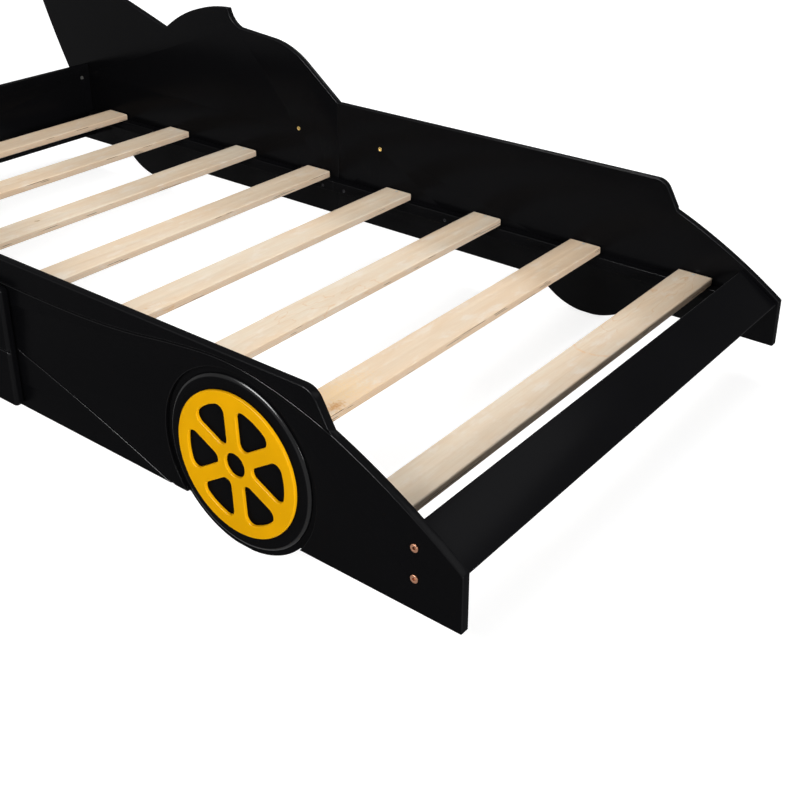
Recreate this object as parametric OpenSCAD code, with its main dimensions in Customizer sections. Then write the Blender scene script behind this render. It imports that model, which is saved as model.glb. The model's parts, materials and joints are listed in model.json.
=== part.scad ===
// Single bed for a child, shaped as a race car: two painted side boards, each in two halves
// joined behind a door block, with a head board, a sloped nose board and eight slats.
// Millimetres. +X points to the nose, +Z up, the floor at Z = 0 and the origin at the middle
// of the floor under the bed. "Right" is the -Y side. Distances named "_d" run back from the
// nose, and heights named "_h" run up from the lower edge of the side boards.

/* [Side boards] */
// Clear width between the side boards
inner_w = 1000; // [900:5:1100]
// Thickness of the side boards
side_t = 15; // [12:0.5:20]
// Length of the front half, from the nose to the seam
front_half_l = 1087; // [1000:5:1200]
// Length of the rear half along its lower edge, from the seam to the tail
rear_half_l = 985; // [940:4:1080]
// Height of the bonnet line above the lower edge
bonnet_h = 278; // [262:2:310]
// Gap between the lower edge and the floor
clearance = 52; // [46:1:62]

/* [Nose outline] */
// Height of the upright front edge
nose_h = 94; // [84:2:100]
// Distance from the front edge to the dip before the bonnet
dip_d = 222; // [210:2:240]
// Height of the dip
dip_h = 222; // [212:2:236]
// Rise of the nose curve above its chord
nose_bow = 7.5; // [4:0.5:16]
// Length of the step up from the dip to the bonnet line
shoulder_l = 31; // [24:1:50]
// Rounding of the shoulder
shoulder_r = 30; // [12:2:40]

/* [Cockpit outline] */
// Run of the straight windscreen edge behind the seam
screen_l = 103; // [90:1:120]
// Height at the top of the windscreen edge
screen_h = 359; // [345:1:370]
// Run from the seam to the flat roof
roof_l = 198; // [180:1:220]
// Height where the flat roof starts
roof_h = 397; // [388:1:402]
// Run from the seam to the foot of the crest
step_l = 310; // [290:1:325]
// Height of the foot of the crest
step_h = 407.5; // [402:0.5:420]
// Run from the seam to the crest
crest_l = 348; // [335:1:365]
// Height of the crest
crest_h = 450.5; // [438:0.5:465]
// Run from the seam to the hollow before the fin
hollow_l = 581; // [550:1:600]
// Height of the hollow
hollow_h = 368.5; // [350:0.5:380]

/* [Tail fin] */
// Overhang of the fin's tip behind the tail
fin_overhang = 157; // [120:1:180]
// Height of the fin's tip
fin_h = 530; // [500:1:580]
// Height of the tail's upright edge
tail_h = 170; // [150:2:200]
// Rise of the fin's leading edge above its chord
fin_bow = 8; // [4:1:20]
// Bulge of the fin's trailing edge behind its chord
trail_bow = 10; // [4:1:20]

/* [Wheels] */
// Distance from the nose to the front wheel's centre
wheel_d = 404; // [390:2:420]
// Distance from the tail to the rear wheel's centre
rear_wheel_d = 330; // [312:2:350]
// Radius of the wheel bulge below the lower edge
bulge_r = 152; // [146:1:160]
// Radius of the fillets where the bulge meets the lower edge
bulge_fillet = 8; // [6:1:20]
// Depth cut flat at the bottom of each bulge, where the bed stands
foot_cut = 0.8; // [0.5:0.1:1.5]
// Radius of the raised tyre, inside its routed ring
tyre_r = 143; // [136:1:147]
// Outer radius of the routed ring
arch_r = 153.5; // [150:0.5:162]
// Depth of the routed ring
arch_depth = 5; // [3:0.5:7]
// Width of the tyre's rounded shoulder
tyre_shoulder = 8; // [4:1:10]
// Radius of the yellow rim
rim_r = 119; // [112:1:124]
// Thickness of the yellow rim
rim_t = 6; // [4:0.5:9]
// Radius of the hole at the hub
hub_r = 20; // [15:1:22]
// Width of a spoke
spoke_w = 24; // [18:1:28]
// Width of the rim's outer band
band_w = 21; // [16:1:26]
// Turn of the rim about its hub, as it was fixed
rim_turn = 2.8; // [0:0.2:10]
// Number of spokes
spokes = 6; // [5:1:8]
// Rounding of a window's inner corner
window_r_in = 11; // [5:0.5:12]
// Rounding of a window's outer corners
window_r_out = 13; // [8:0.5:16]

/* [Routed lines] */
// Width of a routed line
line_w = 3; // [2:0.5:5]
// Depth of a routed line
line_depth = 1.6; // [1:0.2:3]
// Height of the upper line beside the door
upper_line_h = 236; // [228:1:242]
// Rise of the upper line over a wheel
upper_line_rise = 31; // [20:1:33]
// Height of the lower line at the door
lower_line_h = 115; // [95:1:130]
// Rise of the lower line above its chord
lower_line_bow = 5; // [2:1:10]
// Distance between the wheel's fillet and the lower line's foot
lower_line_gap = 22; // [10:1:60]

/* [Door blocks] */
// Length of a door block
door_l = 318; // [290:4:340]
// Height of a door block
door_hgt = 227; // [210:1:228]
// Gap between the block's lower edge and the side board's lower edge
door_low = 6; // [2:1:8]
// Thickness of a door block
door_t = 18; // [15:0.5:25]
// Rounding of the block's corners
door_r = 10; // [6:1:24]
// Distance of the door bolts from the block's ends
door_bolt_end = 33; // [24:1:40]
// Height of the upper door bolts
door_bolt_top_h = 192; // [170:1:205]
// Height of the lower door bolts
door_bolt_low_h = 44; // [30:1:54]

/* [Head board] */
// Distance from the tail to the head board's rear face
head_inset = 59; // [50:1:80]
// Height of the head board
head_board_hgt = 202; // [190:1:215]
// Gap between its lower edge and the side board's lower edge
head_board_low = 20; // [10:1:30]
// Thickness of the head board
head_board_t = 15; // [15:0.5:20]
// Distance of its bolts from its upper and lower edges
head_bolt_edge = 34; // [25:1:50]

/* [Nose board and cross rail] */
// Setback of the nose board's lower edge from the nose
nose_board_d = 3; // [2:1:6]
// Height of the nose board's lower edge
nose_board_h = 89; // [84:1:90]
// Level run of the nose board's face
nose_board_run = 75; // [70:1:90]
// Rise of the nose board's face
nose_board_rise = 50; // [44:1:54]
// Thickness of the nose board
nose_board_t = 15; // [12:0.5:18]
// Thickness of the cross rail under it
cross_t = 15; // [15:0.5:20]
// Distance from the nose to the middle of the cross rail
cross_d = 78; // [76:0.5:80]
// Gap between the cross rail's lower edge and the side board's lower edge
cross_low = 28; // [15:1:32]
// Height of the lower nose bolt
nose_bolt_h = 54; // [50:1:58]
// Distance between the two nose bolts
nose_bolt_gap = 50; // [46:1:51]

/* [Slats] */
// Number of slats
slat_n = 8; // [8:1:8]
// Width of a slat
slat_w = 72; // [60:1:85]
// Thickness of a slat
slat_t = 16; // [12:0.5:20]
// Rounding of a slat's long edges
slat_r = 3; // [1:0.5:4]
// Gap between a slat's end and the side board
slat_end_gap = 4; // [2:0.5:6]
// Gap between the head board and the first slat
head_gap = 79; // [60:1:100]
// Gap between the nose board's upper edge and the last slat
nose_gap = 55; // [45:1:75]
// Height of the slat rails' top above the side board's lower edge
rail_top_h = 91; // [86:1:95]
// Width of a slat rail
rail_w = 22; // [18:0.5:30]
// Height of a slat rail
rail_hgt = 25; // [22:0.5:32]
// Gap between a slat rail's end and what stands beyond it
rail_end_gap = 6; // [3:1:12]

/* [Fasteners] */
// Radius of a frame bolt's shank
bolt_r = 3; // [2.5:0.25:3.5]
// Radius of a frame bolt's head
bolt_head_r = 7.5; // [6:0.25:8]
// Height of a frame bolt's head
bolt_head_hgt = 2; // [1.5:0.25:3]
// Radius of a barrel nut
barrel_r = 5; // [4.5:0.25:5.5]
// Length of a barrel nut
barrel_l = 13; // [11:0.5:13.5]
// Distance of a barrel nut from the end of its board
barrel_end = 26; // [24:1:34]
// Radius of a door bolt's countersunk head
door_head_r = 5; // [4.5:0.25:6]
// Depth of a door bolt's countersunk head
door_head_depth = 2.4; // [2:0.2:3]
// Outer radius of a threaded insert
insert_r = 5; // [4.5:0.25:6]
// Length of a threaded insert
insert_l = 12; // [9:0.5:13]
// Radius of a wood screw's shank
screw_r = 2; // [1.5:0.25:2.5]
// Radius of a wood screw's head
screw_head_r = 3.8; // [3.25:0.1:4.4]
// Depth of a wood screw's countersunk head
screw_head_depth = 2.4; // [2:0.2:3]
// Length of a slat screw
slat_screw_l = 28; // [25:0.5:29]
// Depth that a rail screw bites into the side board
rail_screw_bite = 10; // [7:0.5:10]
// Height of the rail screws above the rail's lower edge
rail_screw_h = 9; // [7:0.5:9.5]
// Distance between the rail screws
rail_screw_pitch = 295; // [200:5:320]
// Distance of the outermost rail screws from the rail's ends
rail_screw_end = 33; // [25:1:34]
// Radius of a dowel
dowel_r = 4; // [3:0.25:4.5]
// Depth of a dowel in the face of a side board
dowel_face = 9; // [7:0.5:10]
// Depth of a dowel in the end of a board
dowel_end = 20; // [15:1:25]

/* [Fits] */
// Gap between a board's end and the face that it butts
butt_gap = 0.2; // [0.1:0.1:0.5]
// Radial gap round dowels, nuts and inserts
snug = 0.1; // [0.05:0.05:0.2]
// Radial gap round a bolt's shank in wood
loose = 0.4; // [0.2:0.1:0.8]

/* [Hidden] */
$fn = 48;
through = 1;

black = "#191a1c";
yellow = "#e2a206";
birch = "#dcc19a";
bronze = "#9a6b45";
zinc = "#b9bcc0";
brass_gold = "#b79a55";
beech = "#c69c6d";

// Overall sizes
tail_d = front_half_l + rear_half_l;
tip_d = tail_d + fin_overhang;
nose_x = tip_d / 2;
inner_y = inner_w / 2;
outer_y = inner_y + side_t;
wheel_z = bulge_r - foot_cut;
wheel_centres = [wheel_d, tail_d - rear_wheel_d];

// Cross boards
head_rear_d = tail_d - head_inset;
head_front_d = head_rear_d - head_board_t;
nose_top_d = nose_board_d + nose_board_run;
nose_slope = atan(nose_board_rise / nose_board_run);
cross_front_d = cross_d - cross_t / 2;
cross_rear_d = cross_d + cross_t / 2;
nose_bolt_heights = [nose_bolt_h, nose_bolt_h + nose_bolt_gap];
head_bolt_heights = [head_board_low + head_bolt_edge,
    head_board_low + head_board_hgt - head_bolt_edge];
head_mid_d = head_front_d + head_board_t / 2;
bolt_l = side_t + barrel_end + barrel_r + 3;
bolt_hole_l = barrel_end + barrel_r + 6;
barrel_hole_l = barrel_l + 1;

// Slats, the first one at the head
first_slat_d = head_front_d - head_gap - slat_w / 2;
last_slat_d = nose_top_d + nose_gap + slat_w / 2;
slat_pitch = (first_slat_d - last_slat_d) / (slat_n - 1);
slat_centres = [for (i = [0:slat_n - 1]) first_slat_d - i * slat_pitch];
rail_z = clearance + rail_top_h;
rail_low_z = rail_z - rail_hgt;
rail_front_ends = [front_half_l - butt_gap / 2, cross_rear_d + rail_end_gap];
rail_rear_ends = [front_half_l + butt_gap / 2, head_front_d - rail_end_gap];

// The door
door_ends = [front_half_l - door_l / 2, front_half_l + door_l / 2];
door_bolt_places = [for (d = [door_ends[0] + door_bolt_end, door_ends[1] - door_bolt_end])
    for (h = [door_bolt_low_h, door_bolt_top_h]) [d, h]];
seam_dowel_heights = [door_bolt_low_h + (door_bolt_top_h - door_bolt_low_h) / 4,
    door_bolt_top_h - (door_bolt_top_h - door_bolt_low_h) / 4];

// A point of a side view, from a distance behind the nose and a height
function at(d, h) = [nose_x - d, clearance + h];
function x_at(d) = nose_x - d;

// Points of an arc from a to b that rises by s to the left of the way from a to b
function bow(a, b, s, n = 16) =
    let (c = norm(b - a), r = (c * c / 4 + s * s) / (2 * abs(s)), g = s > 0 ? 1 : -1,
        side = [a.y - b.y, b.x - a.x] / c, mid = (a + b) / 2 + side * (s - g * r),
        half = 2 * atan(2 * abs(s) / c), start = atan2(side.y * g, side.x * g))
    [for (i = [1:n - 1]) let (t = start + g * half * (1 - 2 * i / n)) mid + r * [cos(t), sin(t)]];

// A corner of a path, rounded by radius r
function rounded(a, p, b, r, n = 6) =
    let (u = (a - p) / norm(a - p), v = (b - p) / norm(b - p), half = acos(u * v) / 2,
        mid = p + (u + v) / norm(u + v) * (r / sin(half)), start = p + u * (r / tan(half)) - mid,
        turn = (180 - 2 * half) * (cross(start, v - u) > 0 ? 1 : -1))
    [for (i = [0:n]) let (t = turn * i / n)
        mid + [start.x * cos(t) - start.y * sin(t), start.x * sin(t) + start.y * cos(t)]];

// An outline from entries [point, radius], or [point] for a plain point
function outline(path) = let (n = len(path))
    [for (i = [0:n - 1]) let (e = path[i], a = path[(i + n - 1) % n][0], b = path[(i + 1) % n][0])
        each len(e) < 2 ? [e[0]] : rounded(a, e[0], b, e[1])];

function plain(points) = [for (p = points) [p]];

// Points of an arc about c, from angle a0 to a1, leaving out as many at each end as skip says
function arc(c, r, a0, a1, n, skip = [0, 0]) =
    [for (i = [skip[0]:n - skip[1]]) let (t = a0 + (a1 - a0) * i / n) c + r * [cos(t), sin(t)]];

// The wheel bulge, from its rear fillet to its front one, with a flat foot
bulge_drop = wheel_z - clearance + bulge_fillet;
bulge_reach = sqrt(pow(bulge_r + bulge_fillet, 2) - bulge_drop * bulge_drop);
function bulge(d) =
    let (edge = atan2(bulge_drop, bulge_reach), foot = acos(wheel_z / bulge_r),
        half = concat(arc([-bulge_reach, -bulge_drop], bulge_fillet, 90, edge, 6),
            arc([0, 0], bulge_r, 180 + edge, 270 - foot, 20, [1, 0])),
        c = [x_at(d), wheel_z])
    concat([for (p = half) c + p], [for (i = [len(half) - 1:-1:0]) c + [-half[i].x, half[i].y]]);

// A smooth line through control points: a quadratic B-spline
function spline(c, n = 6) = let (m = len(c)) concat([c[0]],
    [for (i = [0:m - 3]) for (j = [0:n]) let (t = j / n, k = 1 - t,
        a = i == 0 ? c[0] : (c[i] + c[i + 1]) / 2,
        b = i == m - 3 ? c[m - 1] : (c[i + 1] + c[i + 2]) / 2)
        if (j > 0) k * k * a + 2 * k * t * c[i + 1] + t * t * b]);

// A ribbon of width w along a line
function ribbon(p, w) = let (n = len(p) - 1,
    side = [for (i = [0:n]) let (q = p[min(i + 1, n)] - p[max(i - 1, 0)])
        [-q.y, q.x] / norm(q) * w / 2])
    concat([for (i = [0:n]) p[i] + side[i]], [for (i = [n:-1:0]) p[i] - side[i]]);

front_outline = outline(concat(
    [[at(0, 0), 3], [at(0, nose_h), 3]],
    plain(bow(at(0, nose_h), at(dip_d, dip_h), -nose_bow)),
    [[at(dip_d, dip_h)], [at(dip_d + shoulder_l, bonnet_h), shoulder_r],
        [at(front_half_l - butt_gap / 2, bonnet_h), 2], [at(front_half_l - butt_gap / 2, 0), 2]],
    plain(bulge(wheel_centres[0]))));

rear_outline = outline(concat(
    [[at(front_half_l + butt_gap / 2, 0), 2], [at(front_half_l + butt_gap / 2, bonnet_h)],
        [at(front_half_l + screen_l, screen_h)]],
    plain(bow(at(front_half_l + screen_l, screen_h), at(front_half_l + roof_l, roof_h), -6.5, 8)),
    [[at(front_half_l + roof_l, roof_h)], [at(front_half_l + step_l, step_h)]],
    plain(bow(at(front_half_l + step_l, step_h), at(front_half_l + crest_l, crest_h), 7.5, 6)),
    [[at(front_half_l + crest_l, crest_h)]],
    plain(bow(at(front_half_l + crest_l, crest_h), at(front_half_l + hollow_l, hollow_h), -21)),
    [[at(front_half_l + hollow_l, hollow_h)]],
    plain(bow(at(front_half_l + hollow_l, hollow_h), at(tip_d, fin_h), -fin_bow)),
    [[at(tip_d, fin_h)]],
    plain(bow(at(tip_d, fin_h), at(tail_d, tail_h), -trail_bow)),
    [[at(tail_d, tail_h)], [at(tail_d, 0), 8]],
    plain(bulge(wheel_centres[1]))));

// Routed lines, from a run and a height beside the seam: s is -1 on a front half and 1 on a
// rear one, and w is the run to that half's wheel
function beside_seam(s, run, h) = at(front_half_l + s * run, h);
wheel_runs = [front_half_l - wheel_d, rear_half_l - rear_wheel_d];
function upper_line(s, w, end) = let (h = upper_line_h, rise = upper_line_rise) spline([
    beside_seam(s, 0, h), beside_seam(s, w * 0.37, h - rise / 8),
    beside_seam(s, w * 0.64, h + rise / 8), beside_seam(s, w * 0.83, h + rise * 0.8),
    beside_seam(s, w, h + rise * 1.1), beside_seam(s, w * 1.18, h + rise / 3), end]);
function lower_line(s, w) = let (a = beside_seam(s, door_l / 2, lower_line_h),
    b = beside_seam(s, w - bulge_reach - lower_line_gap, -line_w))
    concat([a], bow(a, b, -s * lower_line_bow), [b]);

// A rim window between two spokes, about the +X axis
function window() =
    let (k = spoke_w / 2, ro = rim_r - band_w, h = 180 / spokes,
        mid = h - asin((k + window_r_out) / (ro - window_r_out)),
        corner = (ro - window_r_out) * [cos(mid), sin(mid)])
    concat(arc([(k + window_r_in) / sin(h), 0], window_r_in, 90 + h, 270 - h, 6),
        arc([corner.x, -corner.y], window_r_out, -90 - h, -mid, 8),
        arc([0, 0], ro, -mid, mid, 8, [1, 1]),
        arc(corner, window_r_out, mid, 90 + h, 8));

module mirrored(s) {
    if (s < 0) children();
    else mirror([0, 1, 0]) children();
}

module bore_y(d, h, y0, y1, r) {
    translate([x_at(d), y0, clearance + h]) rotate([-90, 0, 0]) cylinder(h = y1 - y0, r = r);
}

module bore_x(d0, d1, y, h, r) {
    translate([x_at(d1), y, clearance + h]) rotate([0, 90, 0]) cylinder(h = d1 - d0, r = r);
}

// Everything below is drawn for the right side, at -Y
module upright(points, y, t) {
    translate([0, y, 0]) rotate([90, 0, 0]) linear_extrude(t) polygon(points);
}

module outer_line(points) {
    upright(ribbon(points, line_w), -outer_y + line_depth, line_depth + through);
}

module tyre_ring(d) {
    w = tyre_shoulder;
    translate([x_at(d), -outer_y, wheel_z]) rotate([-90, 0, 0]) rotate_extrude($fn = 96)
        polygon(concat([[tyre_r - w, -through], [tyre_r - w, 0]],
            [for (i = [1:6]) [tyre_r - w + w * sin(15 * i), arch_depth * (1 - cos(15 * i))]],
            [[arch_r, arch_depth], [arch_r, -through]]));
}

module countersunk_y(d, h, y, r, head_r, depth) {
    translate([x_at(d), y, clearance + h]) rotate([90, 0, 0]) cylinder(h = depth, r1 = head_r, r2 = r);
}

module door_holes() {
    for (p = door_bolt_places) {
        bore_y(p[0], p[1], -outer_y - through, -inner_y + through, bolt_r + loose);
        countersunk_y(p[0], p[1], -inner_y, bolt_r + loose, door_head_r + loose, door_head_depth);
    }
}

module seam_dowel_holes() {
    for (h = seam_dowel_heights)
        bore_x(front_half_l - dowel_end - 1, front_half_l + dowel_end + 1, -inner_y - side_t / 2, h,
            dowel_r + snug);
}

// Rail screws step from the seam, with one more at the far end where the last step stays short
function rail_screw_places(ends) = let (g = sign(ends[1] - ends[0]),
    run = abs(ends[1] - ends[0]) - 2 * rail_screw_end, n = floor(run / rail_screw_pitch))
    [for (i = [0:n]) ends[0] + g * (rail_screw_end + i * rail_screw_pitch),
        if (run > (n + 0.5) * rail_screw_pitch) ends[0] + g * (rail_screw_end + run)];
front_rail_screws = rail_screw_places(rail_front_ends);
rear_rail_screws = rail_screw_places(rail_rear_ends);
rail_screw_top_h = rail_top_h - rail_hgt + rail_screw_h;

module rail_pilot_holes(places) {
    for (d = places)
        bore_y(d, rail_screw_top_h, -inner_y - rail_screw_bite - 1, -inner_y + through,
            screw_r + snug);
}

module side_front() {
    difference() {
        upright(front_outline, -inner_y, side_t);
        tyre_ring(wheel_centres[0]);
        outer_line(upper_line(-1, wheel_runs[0], at(dip_d - line_w, dip_h)));
        outer_line(lower_line(-1, wheel_runs[0]));
        door_holes();
        seam_dowel_holes();
        rail_pilot_holes(front_rail_screws);
        for (h = nose_bolt_heights)
            bore_y(cross_d, h, -outer_y - through, -inner_y + through, bolt_r + loose);
        cross_dowel_hole();
        nose_board_frame() nose_dowel_holes();
    }
}

module side_rear() {
    difference() {
        upright(rear_outline, -inner_y, side_t);
        tyre_ring(wheel_centres[1]);
        outer_line(upper_line(1, wheel_runs[1], at(tail_d + line_w, tail_h)));
        outer_line(lower_line(1, wheel_runs[1]));
        door_holes();
        seam_dowel_holes();
        rail_pilot_holes(rear_rail_screws);
        for (h = head_bolt_heights)
            bore_y(head_mid_d, h, -outer_y - through, -inner_y + through, bolt_r + loose);
        head_dowel_hole();
    }
}

module door_block() {
    low = at(door_ends[1], door_low);
    high = at(door_ends[0], door_low + door_hgt);
    difference() {
        upright(outline([[low, door_r], [[low.x, high.y], door_r], [high, door_r],
            [[high.x, low.y], door_r]]), -outer_y, door_t);
        upright(ribbon([at(door_ends[1] + through, lower_line_h), at(door_ends[0] - through,
            lower_line_h)], line_w), -outer_y - door_t + line_depth, line_depth + through);
        for (p = door_bolt_places)
            bore_y(p[0], p[1], -outer_y - insert_l - 1, -outer_y + through, insert_r + snug);
    }
}

module rim(d) {
    translate([x_at(d), -outer_y, wheel_z]) rotate([90, 0, 0]) difference() {
        cylinder(h = rim_t, r = rim_r, $fn = 96);
        translate([0, 0, -through]) cylinder(h = rim_t + 2 * through, r = hub_r);
        for (i = [0:spokes - 1]) rotate([0, 0, rim_turn + 360 / spokes * i])
            translate([0, 0, -through]) linear_extrude(rim_t + 2 * through) polygon(window());
    }
}

// Cross boards
module cross_box(d0, d1, h0, h1, end_gap) {
    y = inner_y - end_gap;
    translate([x_at(d1), -y, clearance + h0]) cube([d1 - d0, 2 * y, h1 - h0]);
}

module frame_bolt_holes(d, heights, nut_d) {
    for (s = [-1, 1]) mirrored(s) for (h = heights) {
        bore_y(d, h, -inner_y - through, -inner_y + bolt_hole_l, bolt_r + loose);
        bore_x(nut_d, nut_d + barrel_hole_l, -inner_y + barrel_end, h, barrel_r + snug);
    }
}

function mid_height(heights) = (heights[0] + heights[1]) / 2;

module head_dowel_hole() {
    bore_y(head_mid_d, mid_height(head_bolt_heights), -inner_y - dowel_face - 1,
        -inner_y + dowel_end + 1, dowel_r + snug);
}

module cross_dowel_hole() {
    bore_y(cross_d, mid_height(nose_bolt_heights), -inner_y - dowel_face - 1,
        -inner_y + dowel_end + 1, dowel_r + snug);
}

module head_board() {
    color(black) difference() {
        cross_box(head_front_d, head_rear_d, head_board_low, head_board_low + head_board_hgt,
            butt_gap);
        frame_bolt_holes(head_mid_d, head_bolt_heights, head_front_d - 0.01);
        for (s = [-1, 1]) mirrored(s) head_dowel_hole();
    }
}

// Places children at the nose board's lower front corner, with its face along -X
module nose_board_frame() {
    corner = at(nose_board_d, nose_board_h);
    translate([corner.x, 0, corner.y]) rotate([0, nose_slope, 0]) children();
}

nose_board_w = norm([nose_board_run, nose_board_rise]);
nose_dowel_runs = [nose_board_w * 0.25, nose_board_w * 0.68];

module nose_dowel_holes() {
    for (w = nose_dowel_runs)
        translate([-w, -inner_y - dowel_face - 1, -nose_board_t / 2]) rotate([-90, 0, 0])
            cylinder(h = dowel_face + dowel_end + 2, r = dowel_r + snug);
}

module nose_board() {
    y = inner_y - butt_gap;
    color(black) nose_board_frame() difference() {
        translate([-nose_board_w, -y, -nose_board_t]) cube([nose_board_w, 2 * y, nose_board_t]);
        for (s = [-1, 1]) mirrored(s) nose_dowel_holes();
    }
}

// The cross rail's top is planed to the slope of the nose board, which rests on it
function under_nose_board(d) = nose_board_h + (d - nose_board_d) * tan(nose_slope)
    - nose_board_t / cos(nose_slope);

module cross_rail() {
    y = inner_y - butt_gap;
    color(black) difference() {
        upright([at(cross_front_d, cross_low), at(cross_rear_d, cross_low),
            at(cross_rear_d, under_nose_board(cross_rear_d)),
            at(cross_front_d, under_nose_board(cross_front_d))], y, 2 * y);
        frame_bolt_holes(cross_d, nose_bolt_heights, cross_rear_d + 0.01 - barrel_hole_l);
        for (s = [-1, 1]) mirrored(s) cross_dowel_hole();
    }
}

module slat_rail(ends, screws) {
    low = min(ends);
    high = max(ends);
    difference() {
        translate([x_at(high), -inner_y, rail_low_z]) cube([high - low, rail_w, rail_hgt]);
        for (d = screws) {
            bore_y(d, rail_screw_top_h, -inner_y - through, -inner_y + rail_w + through,
                screw_r + snug);
            countersunk_y(d, rail_screw_top_h, -inner_y + rail_w, screw_r + snug,
                screw_head_r + snug, screw_head_depth);
        }
        for (d = slat_centres) if (d > low && d < high)
            translate([x_at(d), -inner_y + rail_w / 2, rail_z + slat_t - slat_screw_l - 1])
                cylinder(h = slat_screw_l, r = screw_r + snug);
    }
}

module slat(i) {
    y = inner_y - slat_end_gap;
    c = at(slat_centres[i - 1], rail_top_h + slat_t / 2);
    w = slat_w / 2;
    t = slat_t / 2;
    color(birch) difference() {
        upright(outline([for (k = [[-1, -1], [-1, 1], [1, 1], [1, -1]])
            [c + [k.x * w, k.y * t], slat_r]]), y, 2 * y);
        for (s = [-1, 1]) translate([c.x, s * (inner_y - rail_w / 2), rail_z]) {
            translate([0, 0, -through]) cylinder(h = slat_t + 2 * through, r = screw_r + snug);
            translate([0, 0, slat_t - screw_head_depth])
                cylinder(h = screw_head_depth, r1 = screw_r + snug, r2 = screw_head_r + snug);
        }
    }
}

// Fasteners, each set in one node
module frame_bolt(d, h) {
    color(bronze) difference() {
        union() {
            bore_y(d, h, -outer_y - bolt_head_hgt, -outer_y, bolt_head_r);
            bore_y(d, h, -outer_y - bolt_head_hgt / 2, -outer_y + bolt_l, bolt_r);
        }
        translate([x_at(d), -outer_y - bolt_head_hgt - through, clearance + h]) rotate([-90, 0, 0])
            cylinder(h = through + bolt_head_hgt * 0.8, r = bolt_r * 0.85, $fn = 6);
    }
}

module barrel_nut(d0, h) {
    color(zinc) difference() {
        bore_x(d0, d0 + barrel_l, -inner_y + barrel_end, h, barrel_r);
        bore_y(d0 + barrel_l / 2, h, -inner_y + barrel_end - 2 * barrel_r,
            -inner_y + barrel_end + 2 * barrel_r, bolt_r + snug);
    }
}

module both_sides(heights) {
    for (s = [-1, 1]) mirrored(s) for (h = heights) {
        $h = h;
        children();
    }
}

module nose_bolts() both_sides(nose_bolt_heights) frame_bolt(cross_d, $h);
module head_bolts() both_sides(head_bolt_heights) frame_bolt(head_mid_d, $h);
module nose_barrel_nuts() both_sides(nose_bolt_heights)
    barrel_nut(cross_d - barrel_l / 2, $h);
module head_barrel_nuts() both_sides(head_bolt_heights)
    barrel_nut(head_mid_d - barrel_l / 2, $h);

module door_bolts() {
    color(brass_gold) for (s = [-1, 1]) mirrored(s) for (p = door_bolt_places) difference() {
        union() {
            bore_y(p[0], p[1], -outer_y - insert_l + 1, -inner_y - 0.1, bolt_r);
            countersunk_y(p[0], p[1], -inner_y - 0.1, bolt_r, door_head_r, door_head_depth);
        }
        translate([x_at(p[0]), -inner_y + through, clearance + p[1]]) rotate([90, 0, 0])
            cylinder(h = through + door_head_depth * 0.7, r = bolt_r * 0.7, $fn = 6);
    }
}

module door_inserts() {
    color(zinc) for (s = [-1, 1]) mirrored(s) for (p = door_bolt_places) difference() {
        bore_y(p[0], p[1], -outer_y - insert_l, -outer_y - 0.1, insert_r);
        bore_y(p[0], p[1], -outer_y - insert_l - through, -outer_y + through, bolt_r + snug);
    }
}

module wood_screw(l) {
    cylinder(h = l - 2 * screw_r, r = screw_r);
    translate([0, 0, l - 2 * screw_r]) cylinder(h = 2 * screw_r, r1 = screw_r, r2 = screw_r * 0.2);
    cylinder(h = screw_head_depth, r1 = screw_head_r, r2 = screw_r);
}

module cross_slot() {
    for (a = [0, 90]) rotate([0, 0, a])
        cube([screw_head_r * 1.1, screw_r * 0.35, screw_head_depth], center = true);
}

module rail_screws() {
    color(zinc) for (s = [-1, 1]) mirrored(s) for (d = concat(front_rail_screws, rear_rail_screws))
        translate([x_at(d), -inner_y + rail_w - 0.1, clearance + rail_screw_top_h])
            rotate([90, 0, 0]) difference() {
                wood_screw(rail_w + rail_screw_bite);
                cross_slot();
            }
}

module slat_screws() {
    color(zinc) for (s = [-1, 1]) mirrored(s) for (d = slat_centres)
        translate([x_at(d), -inner_y + rail_w / 2, rail_z + slat_t]) rotate([180, 0, 0])
            difference() {
                wood_screw(slat_screw_l);
                cross_slot();
            }
}

module seam_dowels() {
    color(beech) for (s = [-1, 1]) mirrored(s) for (h = seam_dowel_heights)
        bore_x(front_half_l - dowel_end, front_half_l + dowel_end, -inner_y - side_t / 2, h,
            dowel_r);
}

module board_dowels(d, h) {
    color(beech) for (s = [-1, 1]) mirrored(s)
        bore_y(d, h, -inner_y - dowel_face, -inner_y + dowel_end, dowel_r);
}

module head_board_dowels() board_dowels(head_mid_d, mid_height(head_bolt_heights));
module cross_rail_dowels() board_dowels(cross_d, mid_height(nose_bolt_heights));

module nose_board_dowels() {
    color(beech) nose_board_frame() for (s = [-1, 1]) mirrored(s) for (w = nose_dowel_runs)
        translate([-w, -inner_y - dowel_face, -nose_board_t / 2]) rotate([-90, 0, 0])
            cylinder(h = dowel_face + dowel_end, r = dowel_r);
}

// Named pieces, right side at -Y
module side_front_right() color(black) side_front();
module side_front_left() color(black) mirrored(1) side_front();
module side_rear_right() color(black) side_rear();
module side_rear_left() color(black) mirrored(1) side_rear();
module door_block_right() color(black) door_block();
module door_block_left() color(black) mirrored(1) door_block();
module rim_front_right() color(yellow) rim(wheel_centres[0]);
module rim_front_left() color(yellow) mirrored(1) rim(wheel_centres[0]);
module rim_rear_right() color(yellow) rim(wheel_centres[1]);
module rim_rear_left() color(yellow) mirrored(1) rim(wheel_centres[1]);
module slat_rail_front_right() color(black) slat_rail(rail_front_ends, front_rail_screws);
module slat_rail_front_left() color(black) mirrored(1)
    slat_rail(rail_front_ends, front_rail_screws);
module slat_rail_rear_right() color(black) slat_rail(rail_rear_ends, rear_rail_screws);
module slat_rail_rear_left() color(black) mirrored(1) slat_rail(rail_rear_ends, rear_rail_screws);

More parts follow.
